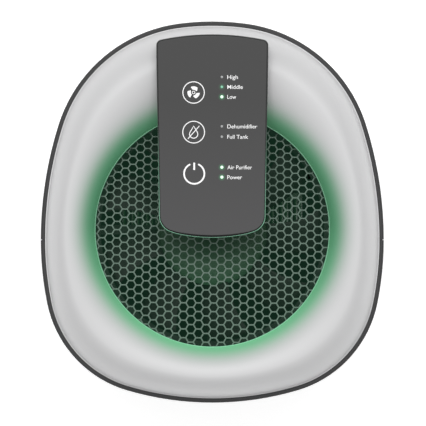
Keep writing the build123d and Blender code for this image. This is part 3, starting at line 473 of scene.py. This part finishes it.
def console():
    """The console's body, the line round its top with painted green light at the tip and painted
    shadow at the back, a near-black sheet of painted shadow in the gap inside it, and the face.
    """
    top = CONSOLE_TOP
    shell = slab("console_shell", console_plan(0.8), CONSOLE_BOTTOM, top - 1.9, MATS["console_body"])
    rounded(shell, 0.9, 4)
    trim = slab("console_trim", console_plan(0.75), top - 2.6, top - 1.3, MATS["console_edge"])
    rounded(trim, 0.25, 2)
    # a near-black sheet of painted shadow in the gap between the face and the trim
    gap = slab("console_gap", console_plan(0.32, 0.1), top - 2.6, top - 1.25, MATS["dark_gap"])
    face = slab("console_face", console_plan(0, -0.75), top - 2.4, top, MATS["console_face"])
    rounded(face, 0.45, 3)
    return [tilt(piece) for piece in (shell, trim, gap, face)]


# ================= console marks =================
MARK_LOW, MARK_HIGH = CONSOLE_TOP - 0.02, CONSOLE_TOP + 0.06


def band(points, width, closed=False):
    """Left and right edges of a stroke of the given width along points."""
    n = len(points)
    left, right = [], []
    for i, p in enumerate(points):
        before = points[(i - 1) % n] if closed or i else p
        after = points[(i + 1) % n] if closed or i < n - 1 else p
        along = (Vector(after) - Vector(before)).normalized()
        side = Vector((-along.y, along.x)) * width / 2
        left.append(Vector(p) + side)
        right.append(Vector(p) - side)
    return left, right


def stroke(points, width, closed=False):
    """A thin raised line along points, as verts and faces."""
    left, right = band(points, width, closed)
    n = len(points)
    verts = [(*p, z) for z in (MARK_LOW, MARK_HIGH) for side in (left, right) for p in side]
    faces = []
    for i in range(n if closed else n - 1):
        j = (i + 1) % n
        faces.append((2 * n + i, 2 * n + j, 3 * n + j, 3 * n + i))
        faces.append((i, j, 2 * n + j, 2 * n + i))
        faces.append((3 * n + i, 3 * n + j, n + j, n + i))
    return verts, faces


def patch(points):
    """A thin raised filled shape."""
    n = len(points)
    verts = [(*p, z) for z in (MARK_LOW, MARK_HIGH) for p in points]
    faces = [tuple(range(n, 2 * n))]
    faces += [(i, (i + 1) % n, n + (i + 1) % n, n + i) for i in range(n)]
    return verts, faces


def mark(name, parts):
    """One printed mark from its strokes and patches, laid on the console's face."""
    verts, faces = [], []
    for part_verts, part_faces in parts:
        base = len(verts)
        verts += part_verts
        faces += [tuple(base + i for i in f) for f in part_faces]
    obj = mesh_object(name, verts, faces, MATS["print_white"])
    mesh = bmesh.new()
    mesh.from_mesh(obj.data)
    bmesh.ops.recalc_face_normals(mesh, faces=mesh.faces)
    mesh.to_mesh(obj.data)
    mesh.free()
    return tilt(obj)


def arc(cx, cy, radius, start, end, steps=48):
    """Points on a circle's arc, angles in degrees."""
    turns = [math.radians(start + (end - start) * k / steps) for k in range(steps + 1)]
    return [(cx + radius * math.cos(t), cy + radius * math.sin(t)) for t in turns]


def circle(cx, cy, radius, steps=64):
    return arc(cx, cy, radius, 0, 360, steps)[:-1]


def fan_mark():
    """A three-bladed fan in a circle."""
    x, y = FAN_KEY
    parts = [stroke(circle(x, y, 6.7), 0.55, True), stroke(circle(x, y, 0.85, 24), 0.4, True)]
    for k in range(3):
        start = 117 - 120 * k
        outer = arc(x, y, 3.85, start, start - 68, 14)
        heel = arc(x, y, 2.3, start - 96, start - 96, 1)[:1]
        inner = arc(x, y, 1.75, start - 72, start - 9, 8)
        parts.append(patch(outer + heel + inner))
    return mark("fan_mark", parts)


def drop_mark():
    """A crossed-out drop in a circle."""
    x, y = DROP_KEY
    left = [(x, y + 3.9), (x - 1.2, y + 1.7), (x - 2.2, y + 0.2), (x - 2.6, y - 1.1)]
    bowl = arc(x, y - 1.2, 2.6, 180, 360, 16)[1:]
    right = [(x + 2.2, y + 0.2), (x + 1.2, y + 1.7)]
    drop = left + bowl + right
    slash = [(x - 3.6, y - 4.2), (x + 3.6, y + 3.9)]
    parts = [stroke(circle(x, y, 6.8), 0.55, True), stroke(drop, 0.5, True), stroke(slash, 0.5)]
    return mark("drop_mark", parts)


def power_mark():
    """An open circle with an upright stroke."""
    x, y = POWER_KEY
    ring = arc(x, y, 6.35, 113, 427, 60)
    parts = [stroke(ring, 1.0), stroke([(x, y + 2.3), (x, y + 6.9)], 1.1)]
    return mark("power_mark", parts)


# words, place along the console, width
LABELS = (("High", HIGH_Y, 6.6), ("Middle", MIDDLE_Y, 9.7), ("Low", LOW_Y, 5.5),
          ("Dehumidifier", DRY_Y, 18.7), ("Full Tank", TANK_Y, 13.0),
          ("Air Purifier", AIR_Y, 15.5), ("Power", POWER_Y, 9.3))


def label(words, y, width):
    """A function label, set to the given width."""
    data = bpy.data.curves.new("label", "FONT")
    data.body = words
    data.size = 0.0035
    data.extrude = 0.00004
    data.offset = 0.00001
    obj = bpy.data.objects.new("label_" + words.lower().replace(" ", "_"), data)
    bpy.context.collection.objects.link(obj)
    graph = bpy.context.evaluated_depsgraph_get()
    mesh = bpy.data.meshes.new_from_object(obj.evaluated_get(graph))
    name = obj.name
    bpy.data.objects.remove(obj)
    xs = [v.co.x for v in mesh.vertices]
    squeeze = width / 1000 / (max(xs) - min(xs))
    for v in mesh.vertices:
        v.co.x = LABEL_X / 1000 + (v.co.x - min(xs)) * squeeze
        v.co.y = y / 1000 + v.co.y - 0.00125
        v.co.z += CONSOLE_TOP / 1000 + 0.00002
    mesh.materials.clear()
    mesh.materials.append(MATS["print_white"])
    made = bpy.data.objects.new(name, mesh)
    bpy.context.collection.objects.link(made)
    return tilt(made)


def indicator(name, y, mat, radius=1.0):
    """A small lens with a low dome."""
    top = CONSOLE_TOP
    profile = [(0.01, top - 5), (radius, top - 5), (radius, top), (radius * 0.7, top + 0.16),
               (0.01, top + 0.24)]
    return tilt(lathe(name, profile, mat, (LIGHT_X, y), 32))


def halo(name, y, level):
    """The soft green light round a lit lens, as a film on the console's face."""
    rings, steps, inner, outer = 8, 32, 0.5, 2.6
    film_z = CONSOLE_TOP + 0.02
    verts, faces, levels = [], [], []
    for k in range(rings + 1):
        share = k / rings
        for i in range(steps):
            turn = 2 * math.pi * i / steps
            radius = inner + (outer - inner) * share
            verts.append((LIGHT_X + radius * math.cos(turn), y + radius * math.sin(turn), film_z))
            levels.append(level * (1 - share) ** 1.5)
    for k in range(rings):
        for i in range(steps):
            j = (i + 1) % steps
            faces.append((k * steps + i, (k + 1) * steps + i, (k + 1) * steps + j, k * steps + j))
    obj = mesh_object(name, verts, faces, MATS["console_face"])
    glow = obj.data.attributes.new("glow", "FLOAT", "POINT")
    for spot, value in zip(glow.data, levels):
        spot.value = value
    return tilt(obj)


# ================= honeycomb =================
def cell_unit(across, bar, low, high):
    """One cell of the comb: a six-sided frame, half a bar wide, with softened edges."""
    ease = 0.12
    clear = across - bar
    rings = ((across, low), (clear + 2 * ease, low), (clear, low + ease), (clear, high - ease),
             (clear + 2 * ease, high), (across, high))
    verts, faces = [], []
    for size, z in rings:
        for k in range(6):
            turn, corner = math.radians(60 * k), size / math.sqrt(3)
            verts.append((corner * math.cos(turn), corner * math.sin(turn), z))
    for r in range(len(rings) - 1):
        for k in range(6):
            m = (k + 1) % 6
            faces.append((r * 6 + k, r * 6 + m, (r + 1) * 6 + m, (r + 1) * 6 + k))
    return mesh_object("cell_unit", verts, faces, MATS["grille"])


def honeycomb_tree(unit):
    """Node tree: a lattice of cells, offset every other column, kept inside a radius."""
    tree = bpy.data.node_groups.new("honeycomb", "GeometryNodeTree")
    face = tree.interface
    for name, value in (("Pitch", COMB_PITCH), ("Column", COMB_COLUMN), ("Radius", COMB_R),
                        ("Phase X", 1.06), ("Phase Y", -1.09)):
        face.new_socket(name=name, in_out="INPUT", socket_type="NodeSocketFloat").default_value = value
    face.new_socket(name="Geometry", in_out="OUTPUT", socket_type="NodeSocketGeometry")
    nodes, link = tree.nodes, tree.links.new
    given = nodes.new("NodeGroupInput")
    out = nodes.new("NodeGroupOutput")

    def maths(operation, *values):
        node = nodes.new("ShaderNodeMath")
        node.operation = operation
        for k, value in enumerate(values):
            if isinstance(value, (int, float)):
                node.inputs[k].default_value = value
            else:
                link(value, node.inputs[k])
        return node.outputs[0]

    count = COMB_COUNT
    line = nodes.new("GeometryNodeMeshLine")
    line.inputs["Count"].default_value = count * count
    line.inputs["Offset"].default_value = (0, 0, 0)
    index = nodes.new("GeometryNodeInputIndex").outputs[0]
    half = (count - 1) / 2
    row = maths("SUBTRACT", maths("MODULO", index, count), half)
    col = maths("SUBTRACT", maths("FLOOR", maths("DIVIDE", index, count)), half)
    odd = maths("MULTIPLY", maths("ABSOLUTE", maths("MODULO", col, 2)), 0.5)
    x = maths("ADD", maths("MULTIPLY", col, given.outputs["Column"]), given.outputs["Phase X"])
    rise = maths("MULTIPLY", maths("ADD", row, odd), given.outputs["Pitch"])
    y = maths("ADD", rise, given.outputs["Phase Y"])
    place = nodes.new("ShaderNodeCombineXYZ")
    link(x, place.inputs["X"])
    link(y, place.inputs["Y"])
    move = nodes.new("GeometryNodeSetPosition")
    link(line.outputs["Mesh"], move.inputs["Geometry"])
    link(place.outputs["Vector"], move.inputs["Position"])
    off = maths("SUBTRACT", y, OUTLET_Y)
    away = maths("SQRT", maths("ADD", maths("MULTIPLY", x, x), maths("MULTIPLY", off, off)))
    far = maths("GREATER_THAN", away, given.outputs["Radius"])
    trim = nodes.new("GeometryNodeDeleteGeometry")
    link(move.outputs["Geometry"], trim.inputs["Geometry"])
    link(far, trim.inputs["Selection"])
    info = nodes.new("GeometryNodeObjectInfo")
    info.inputs["Object"].default_value = unit
    spread = nodes.new("GeometryNodeInstanceOnPoints")
    link(trim.outputs["Geometry"], spread.inputs["Points"])
    link(info.outputs["Geometry"], spread.inputs["Instance"])
    real = nodes.new("GeometryNodeRealizeInstances")
    link(spread.outputs["Instances"], real.inputs["Geometry"])
    weld = nodes.new("GeometryNodeMergeByDistance")
    weld.inputs["Distance"].default_value = 0.02
    link(real.outputs["Geometry"], weld.inputs["Geometry"])
    paint = nodes.new("GeometryNodeSetMaterial")
    paint.inputs["Material"].default_value = MATS["grille"]
    link(weld.outputs["Geometry"], paint.inputs["Geometry"])
    link(paint.outputs["Geometry"], out.inputs["Geometry"])
    return tree


def eased(place):
    """The comb's slight spread: its cells grow a little towards the user."""
    x, y = place.x, place.y - OUTLET_Y
    across = -0.158 + 0.0049 * x + 0.0026 * y - 0.00027 * x * y
    along = -0.247 - 0.0063 * x + 0.0095 * y - 0.00043 * y * y + 0.00008 * x * x
    return Vector((place.x + across, place.y + along, place.z))


def honeycomb():
    """The outlet's comb, made in millimetres by the node tree and then scaled to the frame."""
    unit = cell_unit(COMB_PITCH, COMB_BAR, GRILLE_TOP - 1.6, GRILLE_TOP)
    for v in unit.data.vertices:
        v.co *= 1000
        v.co.x *= COMB_COLUMN / (COMB_PITCH * math.sqrt(3) / 2)
    obj = mesh_object("outlet_comb", [(0, 0, 0)], [], MATS["grille"])
    grow = obj.modifiers.new("comb", "NODES")
    grow.node_group = honeycomb_tree(unit)
    baked(obj)
    for v in obj.data.vertices:
        v.co = eased(v.co) / 1000
    bpy.data.objects.remove(unit)
    return obj


def grille_rim():
    """The solid band round the comb, under the ring's lip."""
    low, high = GRILLE_TOP - 1.7, GRILLE_TOP + 0.05
    inner, outer = 75.8, 79.5
    profile = [(inner, low), (outer, low), (outer, high), (inner, high)]
    return lathe("outlet_comb_rim", profile, MATS["grille"])


def guide_ring():
    """Clear ring whose upright edge shows as a thin bright line round the outlet."""
    bottom, ledge, top = 311.6, 313.1, BOWL_EDGE_Z + 0.4
    inner, outer, foot, ease = 73.4, 74.1, 79.0, 0.15
    profile = [(inner, bottom), (foot, bottom), (foot, ledge), (outer, ledge), (outer, top - ease),
               (outer - ease, top), (inner + ease, top), (inner, top - ease)]
    return lathe("guide_ring", profile, MATS["guide"])


# ================= fan =================
def ring_tree(unit, count, start, material):
    """Node tree: copies of a piece turned about the vertical through the origin."""
    tree = bpy.data.node_groups.new("ring_of_copies", "GeometryNodeTree")
    face, nodes, link = tree.interface, tree.nodes, tree.links.new
    face.new_socket(name="Start", in_out="INPUT", socket_type="NodeSocketFloat").default_value = start
    face.new_socket(name="Count", in_out="INPUT", socket_type="NodeSocketInt").default_value = count
    face.new_socket(name="Geometry", in_out="OUTPUT", socket_type="NodeSocketGeometry")
    given, out = nodes.new("NodeGroupInput"), nodes.new("NodeGroupOutput")
    line = nodes.new("GeometryNodeMeshLine")
    line.inputs["Offset"].default_value = (0, 0, 0)
    link(given.outputs["Count"], line.inputs["Count"])
    index = nodes.new("GeometryNodeInputIndex")
    part = nodes.new("ShaderNodeMath")
    part.operation = "DIVIDE"
    link(index.outputs[0], part.inputs[0])
    link(given.outputs["Count"], part.inputs[1])
    turn = nodes.new("ShaderNodeMath")
    turn.operation = "MULTIPLY_ADD"
    turn.inputs[1].default_value = 2 * math.pi
    link(part.outputs[0], turn.inputs[0])
    link(given.outputs["Start"], turn.inputs[2])
    euler = nodes.new("ShaderNodeCombineXYZ")
    link(turn.outputs[0], euler.inputs["Z"])
    spin = nodes.new("FunctionNodeEulerToRotation")
    link(euler.outputs["Vector"], spin.inputs[0])
    info = nodes.new("GeometryNodeObjectInfo")
    info.inputs["Object"].default_value = unit
    spread = nodes.new("GeometryNodeInstanceOnPoints")
    link(line.outputs["Mesh"], spread.inputs["Points"])
    link(info.outputs["Geometry"], spread.inputs["Instance"])
    link(spin.outputs[0], spread.inputs["Rotation"])
    real = nodes.new("GeometryNodeRealizeInstances")
    link(spread.outputs["Instances"], real.inputs["Geometry"])
    paint = nodes.new("GeometryNodeSetMaterial")
    paint.inputs["Material"].default_value = material
    link(real.outputs["Geometry"], paint.inputs["Geometry"])
    link(paint.outputs["Geometry"], out.inputs["Geometry"])
    return tree


def blade_unit():
    """One twisted, cambered blade on the +X side of the axis."""
    spans, chords, thick, middle_z = 14, 12, 1.5, 291.5
    verts, faces, edge_highlight_faces = [], [], set()
    for side in (1, -1):
        for i in range(spans + 1):
            u = i / spans
            radius = 34.0 + 35.2 * u
            chord = 20.5 + 9.0 * u
            pitch = math.radians(38 - 13 * u)
            for k in range(chords + 1):
                w = k / chords - 0.5
                slim = math.sqrt(max(0.02, 1 - (2 * w) ** 4))
                along = chord * w
                z = middle_z + along * math.sin(pitch) + 1.6 * (1 - 4 * w * w) * math.cos(pitch)
                turn = along * math.cos(pitch) / radius + math.radians(7) * u * u
                z += side * thick / 2 * slim
                verts.append((radius * math.cos(turn), radius * math.sin(turn), z))
    row = chords + 1
    layer = row * (spans + 1)
    for i in range(spans):
        for k in range(chords):
            a, b = i * row + k, (i + 1) * row + k
            faces.append((a, b, b + 1, a + 1))
            faces.append((layer + a, layer + a + 1, layer + b + 1, layer + b))
    for i in range(spans):
        for k in (0, chords):
            a, b = i * row + k, (i + 1) * row + k
            edge_highlight_faces.add(len(faces))
            faces.append((a, layer + a, layer + b, b) if k == 0 else (a, b, layer + b, layer + a))
    for k in range(chords):
        for i in (0, spans):
            a = i * row + k
            below = layer + a
            faces.append((a, a + 1, below + 1, below) if i == 0 else (a, below, below + 1, a + 1))
    blade = mesh_object("blade_unit", verts, faces, MATS["blade"], True)
    # the blade's end faces take a painted green highlight
    blade.data.materials.append(MATS["blade_edge"])
    for face in blade.data.polygons:
        face.material_index = 1 if face.index in edge_highlight_faces else 0
    return blade


def fan():
    """Hub cap and blades; both turn with the fan."""
    cap = [(0.01, 301), (24, 300.9), (29, 300.2), (32.5, 298.4), (34.4, 295.6), (35, 292),
           (35, 282), (32, 282), (32, 296.5), (0.01, 297.5)]
    hub = lathe("fan_hub", cap, MATS["hub"], steps=96)
    unit = blade_unit()
    blades = mesh_object("fan_blades", [(0, 0, 0)], [], MATS["blade"])
    grow = blades.modifiers.new("copies", "NODES")
    grow.node_group = ring_tree(unit, BLADES, math.radians(-7), MATS["blade"])
    baked(blades)
    for v in blades.data.vertices:
        v.co += Vector((0, OUTLET_Y, 0)) / 1000
    bpy.data.objects.remove(unit)
    return hub, blades


# ================= finishes =================
MATS = {}


def make_materials():
    """The finishes, kept by name for the pieces to share."""
    MATS["silver"] = silver_paint()
    MATS["case"] = surface("dark_casing", (0.028, 0.028, 0.029), 0.5, 0, 0.12, 1800)[0]
    MATS["console_body"] = surface("console_body", (0.035, 0.036, 0.036), 0.5)[0]
    # painted shadow: near-black colour for the sheet in the console's gap
    MATS["dark_gap"] = surface("dark_gap", (0.004, 0.006, 0.005), 0.8)[0]
    face, shader = surface("console_face", (0.07, 0.07, 0.07), 0.55, 0, 0.02, 3000)
    shader.inputs["Specular IOR Level"].default_value = 0.25
    # painted shading: the face's grey is lighter towards the tip and darker towards the back
    tip_lit_grey, rear_shaded_grey = (0.084, 0.083, 0.085), (0.063, 0.063, 0.063)
    MATS["console_face"] = along_y(face, shader, "Base Color", -0.02, 0.07, tip_lit_grey, rear_shaded_grey)
    halo_light(face, shader)
    edge, shader = surface("console_edge", (0.2, 0.3, 0.25), 0.5)
    # painted light and shadow on the trim: green light towards the tip, dark shadow towards the back
    tip_green_light, rear_shadow = (0.20, 0.46, 0.31), (0.03, 0.032, 0.031)
    MATS["console_edge"] = along_y(edge, shader, "Base Color", 0.0, 0.055, tip_green_light, rear_shadow)
    MATS["grille"] = surface("grille_plastic", (0.125, 0.19, 0.15), 0.55)[0]
    guide, shader = surface("clear_guide", (0.15, 0.34, 0.22), 0.4)
    shader.inputs["Emission Color"].default_value = (0.30, 0.95, 0.52, 1)
    MATS["guide"] = along_y(guide, shader, "Emission Strength", -0.085, 0.0, 0.30, 0.05)
    # white print, its own colour, with a painted glow added on top
    MATS["print_white"] = glowing("print_white", (1, 1, 1), 0.22, (0.85, 0.85, 0.85), 0.6)
    MATS["light_on"] = glowing("indicator_on", (0.55, 1.0, 0.66), 0.9)
    MATS["light_dim"] = glowing("indicator_dim", (0.12, 0.42, 0.26), 0.6, (0.2, 0.4, 0.3))
    MATS["light_off"] = surface("indicator_off", (0.42, 0.43, 0.43), 0.4)[0]
    MATS["inner"] = surface("inner_plastic", (0.015, 0.017, 0.016), 0.6, 0, 0.05)[0]
    ring_light = (0.27, 1.0, 0.56)
    MATS["lit_inner"] = glowing("lit_inner_plastic", ring_light, 0.018, (0.012, 0.02, 0.015), 0.8)
    # painted green light of the outlet's ring on the blades, with a painted green highlight on their
    # end faces
    MATS["blade"] = glowing("fan_blade", ring_light, 0.013, (0.008, 0.014, 0.010), 0.7)
    MATS["blade_edge"] = glowing("blade_edge", (0.30, 1.0, 0.56), 0.06, (0.08, 0.16, 0.11), 0.6)
    # painted green light of the outlet's ring on the hub: green base colour and green glow, the glow
    # fading towards the console's tip as painted shadow
    hub, shader = surface("fan_hub", (0.03, 0.07, 0.04), 0.7)
    shader.inputs["Emission Color"].default_value = (0.3, 1.0, 0.5, 1)
    MATS["hub"] = along_y(hub, shader, "Emission Strength", -0.046, -0.018, 0.045, 0.012)
    MATS["fin"] = glowing("lit_fin", (0.3, 1.0, 0.5), 0.02, (0.25, 0.32, 0.28), 0.5)


# solids under the outlet that catch the green light
LIT_NODES = ("fan_frame", "fan_deck", "divider_wall", "mid_deck", "filter_guide", "insulation_gasket",
             "cold_sink", "condensate_funnel", "hepa_filter", "filter_frame")


def paint_frame():
    """Gives each carried-over node the finish of its material slot."""
    looks = {
        "dark_casing": MATS["case"], "inner_plastic": MATS["inner"],
        "foot_rubber": surface("foot_rubber", (0.02, 0.02, 0.02), 0.8, 0, 0.2)[0],
        "screw_steel": surface("screw_steel", (0.45, 0.45, 0.46), 0.3, 1.0)[0],
        "circuit_board": surface("circuit_board", (0.02, 0.16, 0.08), 0.4)[0],
        "led_body": glowing("led_body", (0.2, 1.0, 0.45), 1.5),
        "spring_steel": surface("spring_steel", (0.6, 0.58, 0.54), 0.3, 1.0)[0],
        "bearing_bronze": surface("bearing_bronze", (0.55, 0.36, 0.2), 0.4, 1.0)[0],
        "stator_steel": surface("stator_steel", (0.35, 0.2, 0.12), 0.4, 0.8)[0],
        "ferrite": surface("ferrite", (0.06, 0.06, 0.065), 0.6)[0],
        "sink_aluminium": surface("sink_aluminium", (0.42, 0.50, 0.45), 0.4, 0.6)[0],
        "module_ceramic": surface("module_ceramic", (0.8, 0.8, 0.78), 0.5)[0],
        "foam": surface("foam", (0.05, 0.05, 0.05), 0.95, 0, 0.4, 900)[0],
        "white_plastic": surface("white_plastic", (0.75, 0.75, 0.73), 0.4, 0, 0.05)[0],
        "filter_paper": surface("filter_paper", (0.85, 0.85, 0.82), 0.9, 0, 0.2, 700)[0],
        "carbon_cloth": surface("carbon_cloth", (0.02, 0.02, 0.02), 0.95, 0, 0.5, 600)[0],
        "mesh_cloth": surface("mesh_cloth", (0.08, 0.08, 0.08), 0.9, 0, 0.5, 1200)[0],
        "component_case": surface("component_case", (0.04, 0.04, 0.05), 0.3)[0],
        "cable_sleeve": surface("cable_sleeve", (0.03, 0.03, 0.03), 0.6)[0],
    }
    tank, tank_shader = surface("tank_clear", (0.55, 0.62, 0.65), 0.15)
    tank_shader.inputs["Alpha"].default_value = 0.45
    looks["tank_clear"] = tank
    slots = {p["node"]: p["material_slot"] for p in frame["record"]["subparts"]}
    for name, obj in frame["nodes"].items():
        look = MATS["lit_inner"] if name in LIT_NODES else looks.get(slots[name])
        look = MATS["fin"] if name == "hot_sink" else look
        if look:
            obj.data.materials.clear()
            obj.data.materials.append(look)


def add(obj, body="housing", nodes=()):
    """Ties a finished piece to its body and hides the nodes it stands for."""
    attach(obj, body)
    if nodes:
        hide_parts(*nodes)


# ================= assembly =================
def add_console():
    """The console with its marks, labels and indicator lights."""
    shell, trim, gap, face = console()
    add(shell, nodes=["console_housing"])
    add(trim)
    add(gap)
    add(face, nodes=["console_panel"])
    for key_mark in (fan_mark(), drop_mark(), power_mark()):
        add(key_mark)
    for words, y, width in LABELS:
        add(label(words, y, width))
    off_ys, lit_ys = (HIGH_Y, DRY_Y, TANK_Y), (LOW_Y, AIR_Y, POWER_Y)
    off = [indicator(f"light_off_{k}", y, MATS["light_off"], 0.8) for k, y in enumerate(off_ys)]
    dim = indicator("light_dim", MIDDLE_Y, MATS["light_dim"], 0.85)
    lit = [indicator(f"light_on_{k}", y, MATS["light_on"]) for k, y in enumerate(lit_ys)]
    for k, y in enumerate(lit_ys):
        add(halo(f"light_halo_{k}", y, 1.0))
    add(halo("light_halo_dim", MIDDLE_Y, 0.45))
    for k, lens in enumerate(off):
        add(lens, nodes=["indicator_lights_off"] if k == 0 else ())
    add(dim, nodes=["indicator_light_dim"])
    for k, lens in enumerate(lit):
        add(lens, nodes=["indicator_lights_on"] if k == 0 else ())


def main():
    scene = bpy.context.scene
    scene.view_settings.view_transform = "Standard"
    make_camera()
    make_world(0.45, 0.70)
    area_light("rear_panel", (0, 1.2, 2.8), (0, 0, 0.32), (1.6, 1.1), 36)
    make_materials()
    make_floor()
    paint_frame()

    add(ring_cover(), nodes=["top_cover"])
    add(honeycomb(), nodes=["outlet_grille"])
    add(grille_rim())
    add(guide_ring(), nodes=["light_guide_ring"])
    add_console()
    add(seam_lip(-1))
    add(seam_lip(1))
    hub, blades = fan()
    add(hub, "fan", nodes=["fan_rotor"])
    add(blades, "fan")


main()
